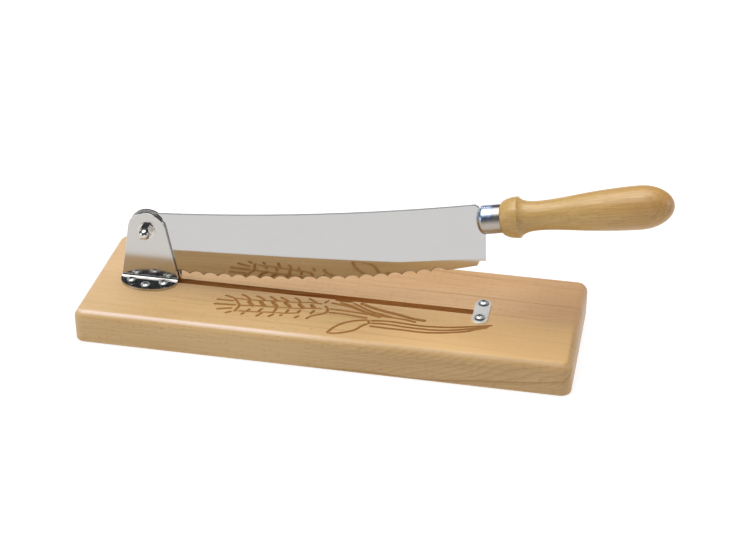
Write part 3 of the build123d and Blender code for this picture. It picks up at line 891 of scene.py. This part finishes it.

# %% [markdown]
# The stop plate and the screws are zinc plated. Plating is paler and duller than bare
# polished steel. The plate's rim has a painted highlight, and the screws' steep flanks have
# painted shade that makes them nearly black. The pivot's nut, bolt and washers are bright
# steel. One recipe makes all three finishes, and an edge's painted colour, a highlight on the
# plate and shade on the screws, is laid on by how far up the surface faces.

# %% Plate, screw and nut finishes
PLATE_ZINC = (0.80, 0.79, 0.745, 1)
PLATE_SMEARED = (0.72, 0.71, 0.67, 1)
# Painted highlight on the plate's rim.
PLATE_RIM_HIGHLIGHT = (0.95, 0.92, 0.84, 1)
SCREW_ZINC = (0.66, 0.68, 0.65, 1)
SCREW_SMEARED = (0.58, 0.60, 0.58, 1)
# Painted shade on the screws' steep flanks.
SCREW_FLANK_SHADE = (0.10, 0.105, 0.11, 1)
NUT_STEEL = (0.58, 0.56, 0.52, 1)
NUT_SMEARED = (0.5336, 0.5152, 0.4784, 1)


def bright_metal(name, clean, smeared, roughness, metal, smears, edge=None):
    """Worn metal. An edge is painted light or shade: the normal's Z where it starts and is full, and its
    colour.
    """
    material, tree, shader, place = finish_named(name)
    worn = use(tree, wear, Place=place, Smears=smears, Scratches=0.25)
    colour = mix_colours(tree, worn["Mask"], clean, smeared)
    if edge:
        start, full, tint = edge
        colour = mix_colours(tree, between(tree, facing(tree, place)[2], start, full), colour, tint)
    polish(tree, shader, between(tree, worn["Mask"], 0, 1, roughness, roughness + 0.08))
    feed(tree, shader, Base_Color=colour, Metallic=metal)
    bump(tree, shader, worn["Relief"], LINE_RELIEF, 0.2)
    return material


plate_finish = bright_metal(
    "zinc_plate", PLATE_ZINC, PLATE_SMEARED, roughness=0.42, metal=0.45, smears=0.6,
    edge=(0.98, 0.70, PLATE_RIM_HIGHLIGHT),
)
screw_finish = bright_metal(
    "zinc_screw", SCREW_ZINC, SCREW_SMEARED, roughness=0.34, metal=0.7, smears=0.6,
    edge=(0.80, 0.45, SCREW_FLANK_SHADE),
)
nut_finish = bright_metal("bright_nut", NUT_STEEL, NUT_SMEARED, roughness=0.17, metal=1.0, smears=0.35)
print("small parts:", plate_finish.name, screw_finish.name, nut_finish.name)

# %% [markdown]
# The blade is polished on its flat, but the wide bevel below it comes from a fine wheel
# and the scallops from a coarser one. The grinds are told apart by how far they face
# down, so one finish serves the whole blade: the steeper the face, the duller the steel.
# The scallops, which face down, are also given a dark grey: painted shade.
# A real blade is never quite flat: this one is twisted a little along its length and
# turns in below a ground line. Its mirror shows that at once, so a height map gives its
# reflections the same slopes.

# %% Blade finish
BLADE_SLOPE = math.radians(9.8)      # how far the blade is lifted at rest
BLADE_GREY = (0.515, 0.508, 0.498, 1)
BLADE_SMEARED = (0.485, 0.48, 0.47, 1)
BEVEL_GREY = (0.520, 0.485, 0.430, 1)
# Painted shade: the down-facing scallops are darkened, on top of their coarser grind.
SCALLOP_SHADE_GREY = (0.30, 0.285, 0.265, 1)
FLAT_POLISH = (0.04, 0.10)
BEVEL_DULLER = 0.05
SCALLOP_DULLER = 0.22
SPINE_DULLER = 0.45
BEVEL_FACES = (-0.015, -0.04)        # Z of the normal where each grind starts and is full
SCALLOP_FACES = (-0.25, -0.45)
SPINE_FACES = (0.5, 0.9)
TWIST = 0.3176           # how fast the flat's lean changes along the blade, radians a metre
TWIST_LEAN = 0.0080      # its lean at the board's middle
TWIST_AXIS = 0.11        # height of the line that it turns about
GRIND_HEIGHT = 0.0622    # the ground line above the board's middle
GRIND_RISE = 0.082       # and its rise towards the grip
GRIND_EASE = 0.003       # how softly the flat turns there
GRIND_LEAN = math.tan(math.radians(2.0))     # how far it turns in
BEVEL_LEAN = math.tan(math.radians(0.9))     # how much less the bevel does than its mesh


def rolled(tree, place, bevelled):
    """Height map of a blade that is slightly twisted and turns in below its ground line."""
    along, _, up = axes_of(tree, place)
    lean = maths(tree, "MULTIPLY_ADD", along, TWIST, TWIST_LEAN)
    twist = product(tree, lean, maths(tree, "SUBTRACT", up, TWIST_AXIS))
    line = maths(tree, "MULTIPLY_ADD", along, GRIND_RISE, GRIND_HEIGHT)
    below = maths(tree, "SMOOTH_MIN", maths(tree, "SUBTRACT", up, line), 0.0, GRIND_EASE)
    turn_in = product(tree, below, GRIND_LEAN, maths(tree, "SUBTRACT", 1.0, bevelled))
    eased = product(tree, up, -BEVEL_LEAN, bevelled)
    return maths(tree, "ADD", twist, maths(tree, "ADD", turn_in, eased))


def ground_blade():
    """Mirror flat, satin bevel, rough scallops with painted shade and dull spine on one piece of steel."""
    material, tree, shader, place = finish_named("blade_steel")
    worn = use(tree, wear, Place=turned(tree, place, BLADE_SLOPE), Smears=0.3, Scratches=0.2)
    upwards = facing(tree, place)[2]
    bevelled = between(tree, upwards, *BEVEL_FACES)
    scalloped = between(tree, upwards, *SCALLOP_FACES)
    steel = mix_colours(tree, worn["Mask"], BLADE_GREY, BLADE_SMEARED)
    steel = mix_colours(tree, bevelled, steel, BEVEL_GREY)
    steel = mix_colours(tree, scalloped, steel, SCALLOP_SHADE_GREY)
    flat = between(tree, worn["Mask"], 0, 1, *FLAT_POLISH)
    satin = maths(tree, "ADD", flat, product(tree, bevelled, BEVEL_DULLER))
    coarse = maths(tree, "ADD", satin, product(tree, scalloped, SCALLOP_DULLER))
    spine = between(tree, upwards, *SPINE_FACES, 0.0, SPINE_DULLER)
    polish(tree, shader, maths(tree, "ADD", coarse, spine))
    feed(tree, shader, Base_Color=steel, Metallic=1.0)
    bump(tree, shader, rolled(tree, place, bevelled))
    bump(tree, shader, worn["Relief"], LINE_RELIEF, 0.2)
    return material


blade_finish = ground_blade()
print("blade finish:", blade_finish.name, "with", len(blade_finish.node_tree.nodes), "nodes")

# %% [markdown]
# The grip is turned beech under a clear varnish, so it is the same wood as the board but
# richer, with a coat over it. Its grain runs along the grip, which is raised 11.5
# degrees, so the pattern is turned by that about a point on the grip's axis. The end that
# is handled most is the darkest.

# %% Grip finish
GRIP_SLOPE = math.radians(11.5)
GRIP_POINT = Vector((123.8, -2.0, 113.9))    # on the grip's axis, inside the ferrule, in mm
GRIP_PALE = (0.655, 0.420, 0.150, 1)
GRIP_DARK = (0.385, 0.208, 0.055, 1)
END_PALE = (0.64, 0.380, 0.125, 1)
END_DARK = (0.33, 0.155, 0.038, 1)
GRIP_FLECK = (0.31, 0.150, 0.040, 1)
VARNISH_ROUGHNESS = (0.34, 0.46)
END_REACH = (0.06, 0.135)            # where the end's tone starts and is full, along the grip


def varnished_beech():
    """Turned beech under varnish, the grain along the grip and darker at its end."""
    material, tree, shader, place = finish_named("varnished_beech")
    on_grip = turned(tree, place, GRIP_SLOPE, GRIP_POINT * MM)
    toward_end = between(tree, axes_of(tree, on_grip)[0], *END_REACH)
    pale = mix_colours(tree, toward_end, GRIP_PALE, END_PALE)
    dark = mix_colours(tree, toward_end, GRIP_DARK, END_DARK)
    wood = use(
        tree, beech, Place=on_grip, Pale=pale, Dark=dark,
        Fleck=GRIP_FLECK, Ring_Gap=0.0052, Streaks=0.75, Flecks=0.40,
    )
    feed(tree, shader, Base_Color=wood["Colour"])
    feed(tree, shader, Roughness=between(tree, wood["Gloss"], 0.0, 1.0, *VARNISH_ROUGHNESS))
    feed(tree, shader, Coat_Weight=0.15, Coat_Roughness=0.16)
    bump(tree, shader, wood["Relief"], GRAIN_RELIEF, 0.3)
    return material


grip_finish = varnished_beech()
print("grip finish:", grip_finish.name)

# %% [markdown]
# Thin plastic rings keep the blade from scraping the fork. They hardly show, so a pale
# plastic with smears of grime is enough.

# %% Spacer finish
PLASTIC = (0.80, 0.80, 0.76, 1)
GRIMY_PLASTIC = (0.66, 0.65, 0.58, 1)


def white_plastic():
    """Moulded plastic of the thin spacers, a little yellowed and dull."""
    material, tree, shader, place = finish_named("spacer_plastic")
    worn = use(tree, wear, Place=place, Smears=0.5, Scratches=0.3)
    colour = mix_colours(tree, worn["Mask"], PLASTIC, GRIMY_PLASTIC)
    feed(tree, shader, Base_Color=colour, Roughness=between(tree, worn["Mask"], 0, 1, 0.4, 0.6))
    return material


spacer_finish = white_plastic()
print("spacer finish:", spacer_finish.name)

# %% [markdown]
# Welding blues steel. Round the slit on top of the ferrule the heat has left straw, then
# violet, then blue tints that fade within a few millimetres, on a darker polished steel.

# %% Ferrule finish
HEAT_TINTS = [            # from cool steel to the weld's edge
    (0.0, (0.38, 0.33, 0.27, 1)),
    (0.3, (0.40, 0.36, 0.32, 1)),
    (0.5, (0.27, 0.27, 0.34, 1)),
    (0.72, (0.26, 0.36, 0.58, 1)),
    (1.0, (0.44, 0.50, 0.62, 1)),
]
FERRULE_SMEARED = (0.42, 0.41, 0.40, 1)
FERRULE_POLISH = (0.30, 0.40)
PATCH_SIZE = (160.0, 160.0, 160.0)
PATCH_REACH = 0.008      # how far the tints' edge wanders up and down
HOT_HEIGHT = (0.002, 0.0085)         # above the ferrule's axis, cool and hot
HOT_LENGTH = (0.009, 0.002)          # along it, cool and hot


def heat_tinted_steel():
    """Polished steel with heat colours round the weld on the ferrule's top."""
    material, tree, shader, place = finish_named("ferrule_steel")
    on_grip = turned(tree, place, GRIP_SLOPE, GRIP_POINT * MM)
    worn = use(tree, wear, Place=on_grip, Smears=0.5, Scratches=0.3)
    along, _, up = axes_of(tree, on_grip)
    patch = maths(tree, "SUBTRACT", noise(tree, place, PATCH_SIZE, 3.0, 0.6), 0.5)
    height = maths(tree, "ADD", up, product(tree, patch, PATCH_REACH))
    heat = product(tree, between(tree, height, *HOT_HEIGHT), between(tree, along, *HOT_LENGTH))
    tints = add(tree, "ShaderNodeValToRGB", Fac=heat)
    fill_ramp(tints, HEAT_TINTS)
    steel = mix_colours(tree, worn["Mask"], tints.outputs["Color"], FERRULE_SMEARED)
    polish(tree, shader, between(tree, worn["Mask"], 0, 1, *FERRULE_POLISH))
    feed(tree, shader, Base_Color=steel, Metallic=1.0)
    bump(tree, shader, worn["Relief"], LINE_RELIEF, 0.3)
    return material


ferrule_finish = heat_tinted_steel()
print("ferrule finish:", ferrule_finish.name)

# %% [markdown]
# The ferrule is slit, pushed over the blade's corner and welded along the top. The weld is
# a row of overlapping drops. Each drop starts as a sphere flattened onto the ferrule, and
# the row is melted together by remeshing it as one skin and smoothing it.

# %% Weld bead
GRIP_ALONG = Vector((math.cos(GRIP_SLOPE), 0, math.sin(GRIP_SLOPE)))
GRIP_UP = Vector((-math.sin(GRIP_SLOPE), 0, math.cos(GRIP_SLOPE)))
WELD_START = -5.0        # along the grip's axis, in mm, as are the next three
WELD_STEP = 1.75
WELD_HEIGHT = 10.4
DROP_RADIUS = 1.35
WELD_DROPS = 6
DROP_WIDTH = 1.05        # across the grip, as a multiple of the radius
DROP_WIDER = 0.12        # how much wider every second drop is
DROP_FLAT = 0.72
MELT_SIZE = 0.00018      # size of the remesh, in metres
RELAX = 0.5
RELAX_ROUNDS = 4

drops = []
for index in range(WELD_DROPS):
    centre = GRIP_POINT + GRIP_ALONG * (WELD_START + WELD_STEP * index) + GRIP_UP * WELD_HEIGHT
    bpy.ops.object.select_all(action="DESELECT")
    bpy.ops.mesh.primitive_uv_sphere_add(
        segments=24, ring_count=12, radius=DROP_RADIUS * MM, location=centre * MM
    )
    drop = bpy.context.object
    drop.scale = (1.0, DROP_WIDTH + DROP_WIDER * (index % 2), DROP_FLAT)
    drop.rotation_euler = (0, -GRIP_SLOPE, 0)
    drops.append(drop)
bpy.ops.object.select_all(action="DESELECT")
for drop in drops:
    drop.select_set(True)
bpy.context.view_layer.objects.active = drops[0]
bpy.ops.object.transform_apply(location=True, rotation=True, scale=True)
bpy.ops.object.join()
weld = bpy.context.object
weld.name = "weld_bead"
melt = weld.modifiers.new("melt", "REMESH")
melt.mode = "VOXEL"
melt.voxel_size = MELT_SIZE
bpy.ops.object.modifier_apply(modifier=melt.name)
relax = weld.modifiers.new("relax", "SMOOTH")
relax.factor = RELAX
relax.iterations = RELAX_ROUNDS
bpy.ops.object.modifier_apply(modifier=relax.name)
bpy.ops.object.transform_apply(location=True, rotation=True, scale=True)
bpy.ops.object.shade_smooth()
weld.data.materials.clear()
weld.data.materials.append(ferrule_finish)
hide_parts("ferrule_weld")
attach(weld, "blade")
print("weld bead:", len(weld.data.polygons), "faces")

# %% [markdown]
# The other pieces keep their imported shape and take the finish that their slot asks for.
# The screws share a slot with the nut and bolt, but are plated, so they are told by name.

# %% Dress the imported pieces
finish_of_slot = {
    "board_wood": board_finish,
    "grip_wood": grip_finish,
    "polished_steel": fork_finish,
    "blade_steel": blade_finish,
    "ferrule_steel": ferrule_finish,
    "zinc_plate": plate_finish,
    "zinc_fasteners": nut_finish,
    "spacer_plastic": spacer_finish,
}
for subpart in frame["record"]["subparts"]:
    node = parts[subpart["node"]]
    finish = screw_finish if subpart["node"].endswith("screws") else finish_of_slot[subpart["material_slot"]]
    node.data.materials.clear()
    node.data.materials.append(finish)
